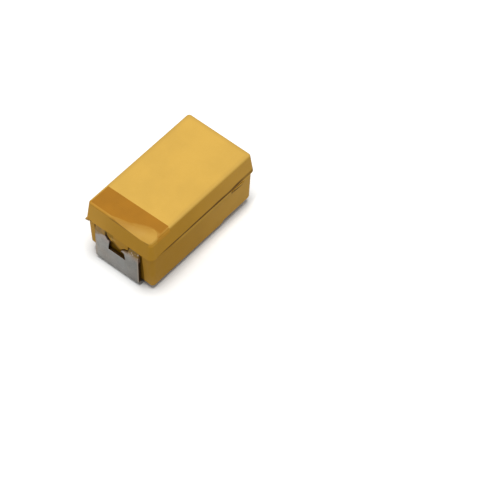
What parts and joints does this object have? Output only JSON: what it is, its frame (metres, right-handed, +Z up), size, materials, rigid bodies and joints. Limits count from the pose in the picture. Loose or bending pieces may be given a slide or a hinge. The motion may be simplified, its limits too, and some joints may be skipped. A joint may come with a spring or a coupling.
{
  "type": "tantalum capacitor",
  "caption": "Molded chip tantalum capacitor: an amber resin case with a darker polarity band, and flat tinned terminals folded down both ends and under it as solder feet.",
  "frame": {"origin": "centre of the footprint, on the board plane that the solder feet rest on", "axes": "+X from the anode end with the polarity band to the cathode end, +Z up from the board, +Y across the case"},
  "size_m": [0.006, 0.0034, 0.0028],
  "materials": {
    "molding_resin": "amber epoxy molding compound, satin, draft walls and a parting line",
    "marked_resin": "darkened brown field on the same resin, matt",
    "tinned_strip": "matt tin plating on lead frame strip, slightly mottled",
    "sintered_tantalum": "dark grey porous sintered metal",
    "tantalum_wire": "drawn wire, satin",
    "white_washer": "white fluoropolymer, smooth",
    "manganese_dioxide": "black crystalline coat",
    "graphite": "dark grey graphite coat, dull",
    "silver_paint": "silver-filled paint, satin",
    "silver_adhesive": "cured silver-filled adhesive, dull"
  },
  "bodies": {
    "root": {"molded_case": "molding_resin", "polarity_band": "marked_resin", "anode_terminal": "tinned_strip", "cathode_terminal": "tinned_strip", "tantalum_pellet": "sintered_tantalum", "anode_wire": "tantalum_wire", "wire_washer": "white_washer", "manganese_dioxide_coat": "manganese_dioxide", "graphite_coat": "graphite", "silver_coat": "silver_paint", "silver_adhesive": "silver_adhesive"}
  },
  "joints": []
}
